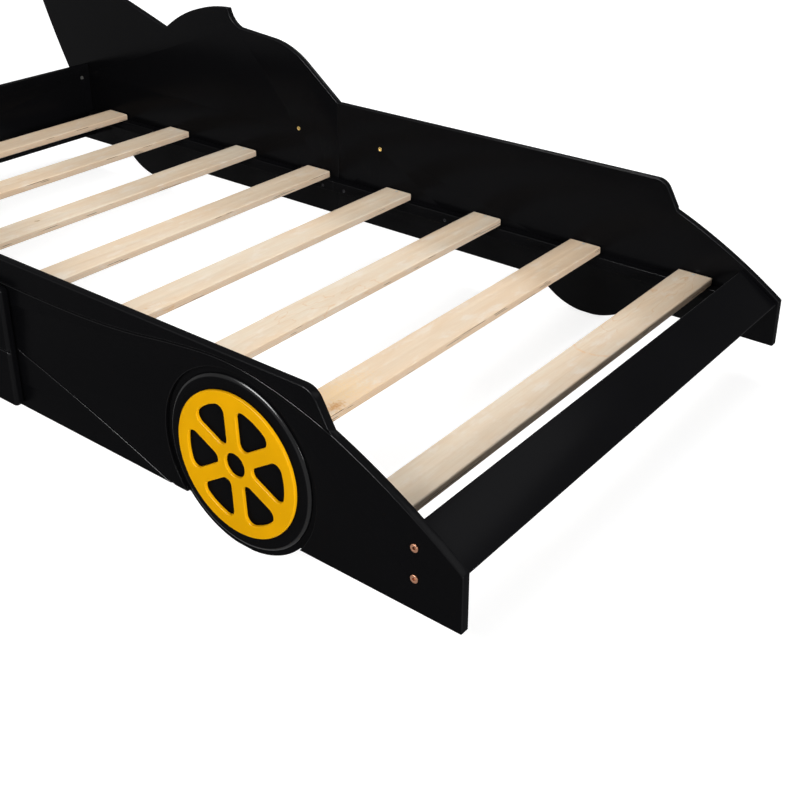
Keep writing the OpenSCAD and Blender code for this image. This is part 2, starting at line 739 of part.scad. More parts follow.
side_front_right();
side_front_left();
side_rear_right();
side_rear_left();
door_block_right();
door_block_left();
rim_front_right();
rim_front_left();
rim_rear_right();
rim_rear_left();
head_board();
cross_rail();
nose_board();
slat_rail_front_right();
slat_rail_front_left();
slat_rail_rear_right();
slat_rail_rear_left();
slat(1);  // slat_1
slat(2);  // slat_2
slat(3);  // slat_3
slat(4);  // slat_4
slat(5);  // slat_5
slat(6);  // slat_6
slat(7);  // slat_7
slat(8);  // slat_8
nose_bolts();
head_bolts();
nose_barrel_nuts();
head_barrel_nuts();
door_bolts();
door_inserts();
rail_screws();
slat_screws();
seam_dowels();
head_board_dowels();
cross_rail_dowels();
nose_board_dowels();
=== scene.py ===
"""Looks of the race-car single bed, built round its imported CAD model.

Metres, in the model's own frame: +X points to the nose, +Z up, and the right side is -Y.
"""

import json
import math

import bmesh
import bpy
from bpy.props import (
    FloatProperty,
    FloatVectorProperty,
    IntProperty,
    PointerProperty,
)
from mathutils import Matrix, Vector


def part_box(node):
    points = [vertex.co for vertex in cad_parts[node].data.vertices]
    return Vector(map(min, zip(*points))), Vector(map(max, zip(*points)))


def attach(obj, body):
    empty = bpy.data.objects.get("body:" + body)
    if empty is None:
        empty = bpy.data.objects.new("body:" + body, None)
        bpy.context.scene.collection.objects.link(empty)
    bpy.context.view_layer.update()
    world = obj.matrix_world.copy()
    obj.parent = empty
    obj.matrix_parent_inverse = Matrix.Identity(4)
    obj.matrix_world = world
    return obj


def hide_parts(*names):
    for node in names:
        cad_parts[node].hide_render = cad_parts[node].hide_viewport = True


bl_info = {
    "name": "Race-car bed",
    "version": (1, 0, 0),
    "blender": (4, 5, 0),
    "location": "3D View > Sidebar > Race-car bed",
    "description": "Builds the painted boards, wheels, slats and fasteners of the bed",
    "category": "Object",
}

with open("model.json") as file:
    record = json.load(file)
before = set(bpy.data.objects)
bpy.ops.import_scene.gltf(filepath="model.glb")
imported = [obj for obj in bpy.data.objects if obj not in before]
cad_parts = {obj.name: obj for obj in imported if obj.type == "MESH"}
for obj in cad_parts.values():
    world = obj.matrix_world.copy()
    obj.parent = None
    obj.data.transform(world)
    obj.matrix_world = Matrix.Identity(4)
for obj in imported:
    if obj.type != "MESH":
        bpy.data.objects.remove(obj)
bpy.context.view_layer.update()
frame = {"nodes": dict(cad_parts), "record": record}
RIM_LOW, RIM_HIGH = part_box("rim_front_right")
SLAT_LOW, SLAT_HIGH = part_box("slat_1")
SLATS = [f"slat_{i}" for i in range(1, 9)]
SLAT_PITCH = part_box("slat_2")[0].x - SLAT_LOW.x
PLIES = 5
ROW_SEED = 1941

# Surfaces that meet at more than SHARP make an edge, and at less than FLAT they are one face
SHARP, FLAT = math.radians(35), math.radians(0.3)
# Vertices of a CAD mesh that are closer than this are one
SAME_PLACE = 2e-6
# Every hole's wall is smaller than this, and a routed line and a tyre's ring are less deep than these
HOLE_SIZE, LINE_DEPTH, RING_DEPTH = 0.0135, 0.0025, 0.008

# How rubbed a board's edges and inner face are, from 0 to 1
EDGE_RUB, INSIDE_RUB = 0.04, 0.14
# How rubbed a rounded strip is that is wider than the width given first, where finer ones have 1
STRIP_RUBS = ((0.001, 0.2), (0.0004, 0.35))

# Name, place, point it faces, sizes and power of each lamp
LAMPS = (
    ("overhead lamp", (-0.1, 0.0, 2.0), (-0.1, 0.1, 0), (2.6, 0.6), "overhead"),
    ("side lamp", (0.25, -2.6, 2.1), (0.5, -0.5, 0.2), (1.2, 0.5), "side"),
    ("far side lamp", (-0.5, 2.8, 2.0), (-0.3, 0.5, 0.2), (1.2, 0.5), "far_side"),
    ("front lamp", (5.0, -1.6, 1.4), (0.3, 0, 0.1), (1.4, 0.8), "front"),
    ("wheel gloss", (0.3, -2.7, 2.15), (0.7, -0.5, 0.2), (2.0, 1.2), "wheel_gloss"),
    ("nose gloss", (2.2, 0.85, 1.8), (1.07, -0.5, 0.15), (1.2, 0.9), "nose_gloss"),
)


def length(name, description, default):
    return FloatProperty(
        name=name, description=description, default=default, min=0, max=1, subtype="DISTANCE",
        unit="LENGTH", precision=4,
    )


def angle(name, description, degrees):
    return FloatProperty(
        name=name, description=description, default=math.radians(degrees), subtype="ANGLE", unit="ROTATION"
    )


def power(name, description, default):
    return FloatProperty(
        name=name, description=description, default=default, min=0, subtype="POWER", unit="POWER"
    )


def colour(name, description, default):
    return FloatVectorProperty(
        name=name, description=description, default=default, min=0, max=1, size=3, subtype="COLOR"
    )


class RaceBedEdges(bpy.types.PropertyGroup):
    """How far each kind of edge is rounded"""

    board: length("Boards", "Rounding of the painted boards' outer edges", 0.0016)
    door: length("Door blocks", "Rounding of the door blocks' outer edges", 0.0065)
    routed: length("Routed lines", "Rounding of the edges of routed lines", 0.0008)
    ring: length("Tyre rings", "Rounding of the outer lip of a tyre's ring", 0.0012)
    hole: length("Holes", "Easing of drilled holes", 0.0003)
    rim: length("Rims", "Rounding of the yellow rims' edges", 0.0016)
    slat_end: length("Slat ends", "Rounding of the slats' sawn ends", 0.0012)


class RaceBedWheels(bpy.types.PropertyGroup):
    """The yellow wheel rims"""

    radius: length("Radius", "Outer radius of a rim", (RIM_HIGH.x - RIM_LOW.x) / 2)
    thickness: length("Thickness", "Thickness of a rim", RIM_HIGH.y - RIM_LOW.y)
    hub: length("Hub", "Radius of the hole at the hub", 0.020)
    band: length("Band", "Width of the outer band", 0.021)
    spoke: length("Spoke", "Width of a spoke", 0.024)
    corner_in: length("Inner corner", "Rounding of a window's inner corner", 0.011)
    corner_out: length("Outer corners", "Rounding of a window's outer corners", 0.013)
    spokes: IntProperty(name="Spokes", description="Number of spokes", default=6, min=3, max=12)
    turn: angle("Turn", "Turn of a rim about its hub, as it was fixed", 2.8)


class RaceBedColours(bpy.types.PropertyGroup):
    """Colours of the finishes"""

    black: colour("Black paint", "Satin black paint of the boards", (0.0033, 0.0033, 0.0038))
    yellow: colour("Yellow paint", "Golden yellow paint of the rims", (0.86, 0.42, 0.0027))
    birch: colour("Birch", "Face veneer of the slats", (0.70, 0.624, 0.508))
    milk: colour("Milky birch", "Pale patches of the veneer", (0.74, 0.668, 0.58))
    birch_warm: colour("Warm birch", "Warmer parts of the veneer", (0.72, 0.515, 0.33))
    streak: colour("Streak", "Rare orange streaks in the veneer", (0.62, 0.36, 0.16))
    cross_ply: colour("Cross ply", "End grain of the plies across", (0.74, 0.51, 0.35))
    beech: colour("Beech", "Dowels", (0.55, 0.33, 0.16))
    bronze: colour("Bronze", "Frame bolts", (0.26, 0.13, 0.08))
    brass: colour("Brass", "Door bolts", (0.50, 0.36, 0.13))
    zinc: colour("Zinc", "Slat screws, nuts and inserts", (0.62, 0.62, 0.60))
    dark_steel: colour("Dark steel", "Rail screws", (0.018, 0.018, 0.02))


class RaceBedStage(bpy.types.PropertyGroup):
    """Camera, lamps and backdrop"""

    lens: FloatProperty(
        name="Lens", description="Focal length", default=0.05399, subtype="DISTANCE_CAMERA"
    )
    shift: FloatProperty(name="Rise", description="Vertical shift of the camera", default=-0.15)
    camera: FloatVectorProperty(
        name="Camera", description="Place of the camera", default=(1.8068, -1.523, 1.1322),
        subtype="TRANSLATION", unit="LENGTH",
    )
    bearing: angle("Bearing", "Turn of the view from -X towards +Y", 51.75)
    dip: angle("Dip", "Angle of the view below the horizon", 24.99)
    sky: FloatProperty(
        name="Sky", description="Strength of the light from all round", default=0.36, min=0
    )
    overhead: power("Overhead lamp", "Power of the soft lamp above", 18)
    side: power("Side lamp", "Power of the soft lamp beside the bed", 30)
    far_side: power("Far side lamp", "Power of the soft lamp on the other side of the bed", 34)
    front: power("Front lamp", "Power of the soft lamp before the nose", 165)
    wheel_gloss: power("Wheel gloss", "Power of a card that only glosses of the near side show", 390)
    nose_gloss: power("Nose gloss", "Power of a card that only glosses of the nose board show", 20)


# Nodes


def feed(value, socket):
    """Links a socket or a node's first output to a socket, or sets the socket to a value"""
    if isinstance(value, bpy.types.Node):
        value = value.outputs[0]
    if isinstance(value, bpy.types.NodeSocket):
        socket.id_data.links.new(value, socket)
    else:
        socket.default_value = value


def fill(node, inputs):
    """Feeds the inputs of a node, each by its name or number"""
    for key, value in inputs.items():
        feed(value, node.inputs[key])


def add(tree, kind, inputs=None, **settings):
    """Adds a node with its settings and feeds its inputs"""
    node = tree.nodes.new(kind)
    for name, value in settings.items():
        setattr(node, name, value)
    fill(node, inputs or {})
    return node


def new_tree(name, kind, inputs, outputs):
    """A node group with its inputs and outputs, and the nodes that they come from and end in"""
    tree = bpy.data.node_groups.new(name, kind)
    for title, socket_type, *default in inputs:
        socket = tree.interface.new_socket(title, in_out="INPUT", socket_type=f"NodeSocket{socket_type}")
        if default:
            socket.default_value = default[0]
    for title, socket_type in outputs:
        tree.interface.new_socket(title, in_out="OUTPUT", socket_type=f"NodeSocket{socket_type}")
    return tree, add(tree, "NodeGroupInput"), add(tree, "NodeGroupOutput")


def arrange(tree):
    """Places a tree's nodes in columns, each to the left of the nodes that it feeds"""
    column = {node.name: 0 for node in tree.nodes}
    links = [(link.from_node.name, link.to_node.name) for link in tree.links]
    for _ in column:
        for left, right in links:
            column[left] = max(column[left], column[right] + 1)
    filled = [0] * (len(column) + 1)
    for node in tree.nodes:
        place = column[node.name]
        node.location = (-250 * place, -300 * filled[place])
        filled[place] += 1


def maths(tree, operation, *values):
    return add(tree, "ShaderNodeMath", dict(enumerate(values)), operation=operation).outputs[0]


def times(tree, a, b):
    return maths(tree, "MULTIPLY", a, b)


def vector_maths(tree, operation, *values):
    return add(tree, "ShaderNodeVectorMath", dict(enumerate(values)), operation=operation)


def ramp(tree, value, low, high, to=(0, 1)):
    """A value taken from low to high onto 0 to 1, or onto other ends"""
    inputs = {"Value": value, "From Min": low, "From Max": high, "To Min": to[0], "To Max": to[1]}
    return add(tree, "ShaderNodeMapRange", inputs, clamp=True).outputs["Result"]


def noise(tree, place, scale, detail, roughness=0.5, seed=None):
    """Noise at a place, or with a seed one of many such noises"""
    inputs = {"Vector": place, "Scale": scale, "Detail": detail, "Roughness": roughness}
    if seed is None:
        return add(tree, "ShaderNodeTexNoise", inputs, noise_dimensions="3D").outputs["Fac"]
    return add(tree, "ShaderNodeTexNoise", inputs | {"W": seed}, noise_dimensions="4D").outputs["Fac"]


def stretched(tree, place, scale):
    return add(tree, "ShaderNodeMapping", {"Vector": place, "Scale": scale})


def blend(tree, mask, a, b):
    """A colour that goes from a to b with the mask"""
    a, b = (value if isinstance(value, bpy.types.NodeSocket) else (*value, 1) for value in (a, b))
    return add(tree, "ShaderNodeMix", {0: mask, 6: a, 7: b}, data_type="RGBA").outputs[2]


def bump(tree, height, strength, distance):
    return add(tree, "ShaderNodeBump", {"Strength": strength, "Distance": distance, "Height": height})


# Shader groups


def group(name, inputs, outputs, build):
    """A shader group, built the first time that it is asked for"""
    tree = bpy.data.node_groups.get(name)
    if tree is None:
        outputs = [(title, "Float") for title in outputs]
        tree, source, end = new_tree(name, "ShaderNodeTree", [("Place", "Vector"), *inputs], outputs)
        fill(end, build(tree, source.outputs))
        arrange(tree)
    return tree


def paint_skin():
    """Sprayed paint: orange peel, soft mottling and the odd speck of dust under it"""

    def build(tree, given):
        place = given["Place"]
        peel = noise(tree, place, given["Peel scale"], 2, 0.45)
        cloud = noise(tree, place, 7, 3, 0.55)
        speck = add(tree, "ShaderNodeTexVoronoi", {"Vector": place, "Scale": 90}).outputs["Distance"]
        grit = ramp(tree, speck, 0.02, 0.05, (1, 0))
        height = maths(tree, "ADD", peel, times(tree, grit, 0.5))
        return {"Height": height, "Mottle": ramp(tree, cloud, 0.3, 0.7), "Specks": grit}

    return group("Sprayed paint", [("Peel scale", "Float", 420.0)], ("Height", "Mottle", "Specks"), build)


def wood_figure():
    """Bare wood with its grain along Y: soft figure, growth lines, fibres and a rare orange streak"""

    def build(tree, given):
        def layer(across, along, detail, roughness=0.5):
            place = stretched(tree, given["Place"], (across, along, across))
            return noise(tree, place, 1, detail, roughness, given["Seed"])

        broad = layer(16, 3.5, 2)
        flame = layer(11, 1.3, 1, 0.4)
        rings = maths(tree, "PINGPONG", times(tree, flame, 22.0), 1.0)
        fibre = layer(330, 9, 4, 0.65)
        pore = layer(1500, 90, 1)
        wander = layer(17, 6, 3, 0.55)
        line = maths(tree, "PINGPONG", times(tree, wander, 9.0), 0.5)
        rare = layer(7, 3, 0)
        streak = times(tree, ramp(tree, line, 0, 0.06, (1, 0)), ramp(tree, rare, 0.56, 0.64))
        cloud = layer(60, 22, 3, 0.6)
        figure = maths(tree, "ADD", times(tree, broad, 0.6), times(tree, cloud, 0.4))
        milk = layer(45, 20, 3, 0.65)
        return {
            "Figure": ramp(tree, figure, 0.38, 0.62),
            "Milk": ramp(tree, milk, 0.54, 0.68),
            "Rings": ramp(tree, rings, 0.6, 1.0),
            "Fibre": ramp(tree, fibre, 0.25, 0.75),
            "Pores": ramp(tree, pore, 0.62, 0.75),
            "Streaks": streak,
        }

    outputs = ("Figure", "Milk", "Rings", "Fibre", "Pores", "Streaks")
    return group("Bare wood", [("Seed", "Float", 0.0)], outputs, build)


def plated_metal():
    """Plated steel: a fine satin grain and dull patches"""

    def build(tree, given):
        grain = noise(tree, given["Place"], 5200, 2, 0.6)
        dull = noise(tree, given["Place"], 260, 3, 0.6)
        return {"Height": grain, "Dull": ramp(tree, dull, 0.35, 0.7)}

    return group("Plated steel", [], ("Height", "Dull"), build)


# Finishes


def new_finish(name):
    """A material, its tree, its shader and the object coordinates to build it from"""
    material = bpy.data.materials.new(name)
    material.use_nodes = True
    tree = material.node_tree
    place = add(tree, "ShaderNodeTexCoord").outputs["Object"]
    return material, tree, tree.nodes["Principled BSDF"], place


def use_group(tree, made, inputs):
    """The outputs of a shader group that is placed in a tree"""
    return add(tree, "ShaderNodeGroup", inputs, node_tree=made).outputs


def attribute(tree, name):
    return add(tree, "ShaderNodeAttribute", attribute_name=name).outputs["Fac"]


def paint_finish(name, tint, gloss, peel, sheen):
    """Satin paint, glossier where edges are rubbed"""
    material, tree, shader, place = new_finish(name)
    skin = use_group(tree, paint_skin(), {"Place": place, "Peel scale": peel})
    base, dust, edge_sheen = Vector(tint), Vector((0.002,) * 3), 0.32
    mottled = blend(tree, skin["Mottle"], base * 0.93, base * 1.07)
    fill(shader, {
        "Base Color": blend(tree, skin["Specks"], mottled, base * 1.5 + dust),
        "Roughness": ramp(tree, skin["Mottle"], 0, 1, (gloss - 0.02, gloss + 0.03)),
        "Specular IOR Level": 0,
        "Coat Weight": ramp(tree, attribute(tree, "rubbed"), 0, 1, (sheen, edge_sheen)),
        "Coat Roughness": 0.22,
        "Normal": bump(tree, skin["Height"], 0.12, 0.0004),
    })
    return material


def mark(tree, place, centre, stretch, radius, width):
    """Mask of a ragged spot on the slats, or of the near half of a broken ring"""
    away = vector_maths(tree, "SUBTRACT", place, (*centre, SLAT_HIGH.z))
    away = vector_maths(tree, "MULTIPLY", away, (1, stretch, 1))
    far = vector_maths(tree, "LENGTH", away).outputs["Value"]
    off = maths(tree, "ABSOLUTE", maths(tree, "SUBTRACT", far, radius))
    ragged = ramp(tree, noise(tree, place, 170, 2), 0.3, 0.7, (-0.4 * width, 0.4 * width))
    mask = ramp(tree, maths(tree, "ADD", off, ragged), 0.1 * width, width, (1, 0))
    if radius:
        along = add(tree, "ShaderNodeSeparateXYZ", {0: place}).outputs["Y"]
        near = ramp(tree, along, centre[1] - radius * 0.6, centre[1] - radius * 0.4, (1, 0))
        broken = ramp(tree, noise(tree, place, 90, 2), 0.4, 0.55, (0.15, 1))
        mask = times(tree, times(tree, mask, near), broken)
    return mask


def veneer(tree, place, wood, tone, colours):
    """Colour of a slat's face, with a knot and its core, a growth line and a pin knot"""
    birch, warm = Vector(colours.birch), Vector(colours.birch_warm)
    milk, streak = Vector(colours.milk), Vector(colours.streak)
    face = blend(tree, wood["Figure"], birch * 1.04, birch.lerp(warm, 0.6))
    for mask, shares, tint in (
        (tone, (0, 0.55), warm),
        (wood["Rings"], (0, 0.22), warm * 0.85),
        (wood["Fibre"], (0.3, 0), warm * 0.75),
        (wood["Milk"], (0, 0.5), milk),
        (wood["Streaks"], (0, 0.55), streak),
    ):
        face = blend(tree, ramp(tree, mask, 0, 1, shares), face, tint)
    for centre, stretch, radius, width, share, tint in (
        ((0.700, -0.290), 0.45, 0, 0.050, 0.65, (0.75, 0.52, 0.27)),
        ((0.725, -0.314), 0.50, 0, 0.013, 1.0, (0.55, 0.29, 0.11)),
        ((0.945, 0.130), 1, 0.048, 0.0045, 0.5, streak * 1.15),
        ((-0.283, -0.130), 0.60, 0, 0.005, 0.9, streak * 0.5),
    ):
        mask = mark(tree, place, centre, stretch, radius, width)
        face = blend(tree, times(tree, mask, share), face, tint)
    return face


def ply_edges(tree, place, face, cross):
    """A face's colour with the plies across, glue lines and gaps that an edge shows"""
    height = add(tree, "ShaderNodeSeparateXYZ", {0: place}).outputs["Z"]
    deep = ramp(tree, height, SLAT_HIGH.z, SLAT_LOW.z)
    within = times(tree, ramp(tree, deep, 0.02, 0.05), ramp(tree, deep, 0.98, 0.95))

    # Every second ply lies across, and shows its end grain
    pair = maths(tree, "FRACT", times(tree, deep, PLIES / 2))
    off = maths(tree, "ABSOLUTE", maths(tree, "SUBTRACT", pair, 0.75))
    pores = noise(tree, stretched(tree, place, (900, 900, 120)), 1, 2, 0.6)
    end_grain = ramp(tree, pores, 0.3, 0.7, (0.25, 0.6))
    across = times(tree, ramp(tree, off, 0.23, 0.26, (1, 0)), end_grain)

    seam = maths(tree, "PINGPONG", times(tree, deep, PLIES), 0.5)
    glue = ramp(tree, seam, 0.03, 0.1, (0.6, 0))
    open_parts = noise(tree, stretched(tree, place, (10, 11, 130)), 1, 1)
    gap = times(tree, ramp(tree, seam, 0.14, 0.22, (1, 0)), ramp(tree, open_parts, 0.64, 0.66))
    for mask, tint in ((across, cross), (glue, cross * 0.66), (gap, cross * 0.15)):
        face = blend(tree, times(tree, mask, within), face, tint)
    return face


def ply_finish(name, colours):
    """Birch plywood: a face shows one ply and an edge shows all, with glue and gaps"""
    material, tree, shader, place = new_finish(name)
    tone = attribute(tree, "tone")
    wood = use_group(tree, wood_figure(), {"Place": place, "Seed": times(tree, tone, 50.0)})
    face = veneer(tree, place, wood, tone, colours)
    fill(shader, {
        "Base Color": ply_edges(tree, place, face, Vector(colours.cross_ply)),
        "Roughness": ramp(tree, wood["Fibre"], 0, 1, (0.62, 0.52)),
        "Specular IOR Level": 0.2,
        "Normal": bump(tree, wood["Fibre"], 0.2, 0.0002),
    })
    return material


def wood_finish(name, tint):
    """Plain turned wood"""
    material, tree, shader, place = new_finish(name)
    wood = use_group(tree, wood_figure(), {"Place": place})
    base = Vector(tint)
    face = blend(tree, wood["Figure"], base * 0.9, base * 1.1)
    fill(shader, {
        "Base Color": blend(tree, wood["Pores"], face, base * 0.6),
        "Roughness": ramp(tree, wood["Fibre"], 0, 1, (0.6, 0.7)),
        "Normal": bump(tree, wood["Fibre"], 0.3, 0.0002),
    })
    return material


def metal_finish(name, tint, gloss):
    """Plated steel in one colour"""
    material, tree, shader, place = new_finish(name)
    metal = use_group(tree, plated_metal(), {"Place": place})
    base = Vector(tint)
    fill(shader, {
        "Base Color": blend(tree, metal["Dull"], base, base * 0.75),
        "Roughness": ramp(tree, metal["Dull"], 0, 1, (gloss, gloss + 0.15)),
        "Metallic": 1,
        "Normal": bump(tree, metal["Height"], 0.15, 0.00005),
    })
    return material


def finish(slot):
    """The material of one of the record's slots, made the first time that it is asked for"""
    name = slot + " finish"
    material = bpy.data.materials.get(name)
    if material is None:
        c = bpy.context.scene.race_bed_colours
        make, *values = {
            "black_paint": (paint_finish, c.black, 0.35, 420, 0.025),
            "yellow_paint": (paint_finish, c.yellow, 0.38, 300, 0.012),
            "slat_ply": (ply_finish, c),
            "beech": (wood_finish, c.beech),
            "bronze_bolt": (metal_finish, c.bronze, 0.32),
            "brass_bolt": (metal_finish, c.brass, 0.3),
            "zinc": (metal_finish, c.zinc, 0.3),
            "dark_screw": (metal_finish, c.dark_steel, 0.4),
        }[slot]
        material = make(name, *values)
        arrange(material.node_tree)
    return material


# Objects and meshes


def new_object(name, data):
    obj = bpy.data.objects.new(name, data)
    bpy.context.scene.collection.objects.link(obj)
    return obj


def hidden_object(name, mesh):
    """An object that only a tree reads"""
    obj = new_object(name, mesh)
    obj.hide_render = True
    return obj


def piece(name, mesh, slot, nodes):
    """Adds a finished mesh as a piece that stands for CAD nodes"""
    mesh.name = name
    mesh.materials.clear()
    mesh.materials.append(finish(slot))
    obj = new_object(name, mesh)
    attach(obj, "root")
    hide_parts(*nodes)


def evaluated(obj):
    """The mesh of an object with its modifiers, and the object removed"""
    graph = bpy.context.evaluated_depsgraph_get()
    mesh = bpy.data.meshes.new_from_object(obj.evaluated_get(graph), depsgraph=graph)
    bpy.data.objects.remove(obj)
    return mesh


def connected(items, neighbours):
    """Splits items into lists of those that neighbours leads to, in the items' own order"""
    done, found = set(), []
    for first in items:
        if first in done:
            continue
        done.add(first)
        wait, part = [first], []
        while wait:
            item = wait.pop()
            part.append(item)
            for other in neighbours(item):
                if other not in done:
                    done.add(other)
                    wait.append(other)
        found.append(part)
    return found


def limits(points):
    """The lowest and the highest corner of the box round some points"""
    return [[pick(point[k] for point in points) for k in range(3)] for pick in (min, max)]


def strip_rub(mesh, face):
    """How rubbed a face of a rounded edge is"""
    longest = max((mesh.vertices[a].co - mesh.vertices[b].co).length for a, b in face.edge_keys)
    width = face.area / longest
    return next((rub for least, rub in STRIP_RUBS if width > least), 1.0)


def rubbed(obj, bevel):
    """The mesh of an object with its bevel, and how rubbed each corner of a face is

    A board's outer face has 0, its edges a little, its inner face and the middle of its rounded edges
    a little more, and a moulded shoulder and the fine edges of routed lines rise to 1.
    """
    obj.data.materials.clear()
    for face in obj.data.polygons:
        face.material_index = 0
    for _ in range(2):
        obj.data.materials.append(None)
    bevel.material = 1
    mesh = evaluated(obj)
    flat = max(mesh.polygons, key=lambda face: face.area).normal.copy()
    kinds = []
    least = [1.0] * len(mesh.vertices)
    for face in mesh.polygons:
        level = abs(face.normal.dot(flat))
        slanted = 0.15 < level < 0.985
        if face.material_index == 1:
            kinds.append((strip_rub(mesh, face), True))
        elif slanted:
            kinds.append((1.0, True))
        else:
            inside = face.center.dot(face.normal) < 0
            rub = EDGE_RUB if level < 0.5 else INSIDE_RUB if inside else 0.0
            kinds.append((rub, False))
            for v in face.vertices:
                least[v] = min(least[v], rub)
        face.material_index = 0
    values = [0.0] * len(mesh.loops)
    for face, (rub, strip) in zip(mesh.polygons, kinds):
        for i, v in zip(face.loop_indices, face.vertices):
            values[i] = min(least[v], rub) if strip else rub
    mesh.attributes.new("rubbed", "FLOAT", "CORNER").data.foreach_set("value", values)
    return mesh


def round_edges(obj, width, segments, method):
    """The rubbed mesh of an object with a bevel on its edges"""
    bevel = obj.modifiers.new("Rounded edges", "BEVEL")
    bevel.width = width
    bevel.segments = segments
    bevel.limit_method = method
    bevel.angle_limit = SHARP
    bevel.use_clamp_overlap = False
    bevel.loop_slide = False
    bevel.harden_normals = True
    return rubbed(obj, bevel)


def joined(node):
    """A copy of a CAD node's mesh with its triangles joined"""
    bm = bmesh.new()
    bm.from_mesh(frame["nodes"][node].data)
    bmesh.ops.remove_doubles(bm, verts=bm.verts, dist=SAME_PLACE)
    return bm


def surfaces(bm):
    """The size along X, Y and Z of the smooth surface that each face belongs to"""

    def neighbours(face):
        for edge in face.edges:
            if edge.calc_face_angle(0) <= SHARP:
                yield from edge.link_faces

    size = {}
    for part in connected(bm.faces, neighbours):
        low, high = limits([v.co for face in part for v in face.verts])
        for face in part:
            size[face.index] = [b - a for a, b in zip(low, high)]
    return size


def edge_width(sizes, width, routed):
    """The rounding of an edge, from the sizes of the two surfaces that meet there"""
    if min(max(size) for size in sizes) < HOLE_SIZE:
        return bpy.context.scene.race_bed_edges.hole
    depth = max(size[1] for size in sizes)
    return next((fine for most, fine in routed if depth < most), width)


def rounded_board(node, width, segments=3, routed=()):
    """A copy of a CAD board with its sharp outer edges rounded to a width

    routed gives the depth along Y that a routed form doesn't reach, and the rounding of its edges.
    """
    bm = joined(node)
    bmesh.ops.dissolve_limit(bm, angle_limit=FLAT, verts=bm.verts, edges=bm.edges)
    bm.faces.index_update()
    size = surfaces(bm)
    weight = bm.edges.layers.float.new("bevel_weight_edge")
    for e in bm.edges:
        if e.calc_face_angle(0) <= SHARP:
            continue
        e.smooth = False
        if e.is_convex:
            e[weight] = edge_width([size[f.index] for f in e.link_faces], width, routed) / width
            e.smooth = e[weight] > 0
    for f in bm.faces:
        f.smooth = True
    mesh = bpy.data.meshes.new(node)
    bm.to_mesh(mesh)
    bm.free()
    return round_edges(new_object(node, mesh), width, segments, "WEIGHT")


# Boards


class RaceBedOperator(bpy.types.Operator):
    """Shared by the bed's operators"""

    bl_options = {"REGISTER", "UNDO"}


class BuildSideBoards(RaceBedOperator):
    """Side board halves with rounded edges, routed lines and tyre rings"""

    bl_idname = "race_bed.side_boards"
    bl_label = "Side boards"

    def execute(self, context):
        edges = context.scene.race_bed_edges
        routed = ((LINE_DEPTH, edges.routed), (RING_DEPTH, edges.ring))
        for node in ("side_front_right", "side_front_left", "side_rear_right", "side_rear_left"):
            piece(node + "_board", rounded_board(node, edges.board, 4, routed), "black_paint", [node])
        return {"FINISHED"}


class BuildDoorBlocks(RaceBedOperator):
    """Thick door blocks with well rounded outer edges and a routed line"""

    bl_idname = "race_bed.door_blocks"
    bl_label = "Door blocks"

    def execute(self, context):
        edges = context.scene.race_bed_edges
        routed = ((LINE_DEPTH, edges.routed),)
        for node in ("door_block_right", "door_block_left"):
            piece(node + "_board", rounded_board(node, edges.door, 6, routed), "black_paint", [node])
        return {"FINISHED"}


class BuildCrossBoards(RaceBedOperator):
    """Head board, nose board, cross rail and slat rails"""

    bl_idname = "race_bed.cross_boards"
    bl_label = "Cross boards and slat rails"

    def execute(self, context):
        edges = context.scene.race_bed_edges
        for node in (
            "head_board", "nose_board", "cross_rail", "slat_rail_front_right", "slat_rail_front_left",
            "slat_rail_rear_right", "slat_rail_rear_left",
        ):
            piece(node + "_wood", rounded_board(node, edges.board), "black_paint", [node])
        return {"FINISHED"}


# Pieces that are made by trees


def geometry_tree(name, inputs):
    """A tree that takes and gives a geometry, with a finish beside its other inputs"""
    inputs = [("Geometry", "Geometry"), *inputs, ("Finish", "Material")]
    tree, source, end = new_tree(name, "GeometryNodeTree", inputs, [("Geometry", "Geometry")])
    tree.is_modifier = True
    return tree, source.outputs, end


def finish_tree(tree, geometry, material, end):
    """Ends a tree in Realize Instances and Set Material"""
    real = add(tree, "GeometryNodeRealizeInstances", {0: geometry})
    coat = add(tree, "GeometryNodeSetMaterial", {"Geometry": real, "Material": material})
    fill(end, {0: coat})
    arrange(tree)
    return tree


def run_tree(tree, base, values):
    """The mesh that a tree makes from a mesh, with its inputs set by identifier"""
    obj = new_object("tree base", base)
    modifier = obj.modifiers.new(tree.name, "NODES")
    modifier.node_group = tree
    for item in tree.interface.items_tree:
        if item.in_out == "INPUT" and item.name in values:
            modifier[item.identifier] = values[item.name]
    return evaluated(obj)


def geometry_of(tree, model):
    """The geometry of an object"""
    return add(tree, "GeometryNodeObjectInfo", {"Object": model}).outputs["Geometry"]


def random_number(tree, seed, most=1.0):
    """A random number from 0 to most for each point"""
    node = add(tree, "FunctionNodeRandomValue", {"Seed": seed}, data_type="FLOAT")
    feed(most, next(s for s in node.inputs if s.enabled and s.name == "Max"))
    return next(s for s in node.outputs if s.enabled)


def row_tree():
    """Repeats a piece along a row, and gives each one a tone of its own"""
    tree, given, end = geometry_tree("Row of slats", [
        ("Slat", "Object"), ("Count", "Int", 8), ("Step", "Vector"), ("Seed", "Int", 0),
    ])
    line = add(tree, "GeometryNodeMeshLine", {"Count": given["Count"], "Offset": given["Step"]},
               mode="OFFSET", count_mode="TOTAL")
    row = add(tree, "GeometryNodeInstanceOnPoints", {
        "Points": line, "Instance": geometry_of(tree, given["Slat"]),
    })
    tone = add(tree, "GeometryNodeStoreNamedAttribute", data_type="FLOAT", domain="INSTANCE")
    fill(tone, {"Geometry": row, "Name": "tone", "Value": random_number(tree, given["Seed"])})
    return finish_tree(tree, tone, given["Finish"], end)


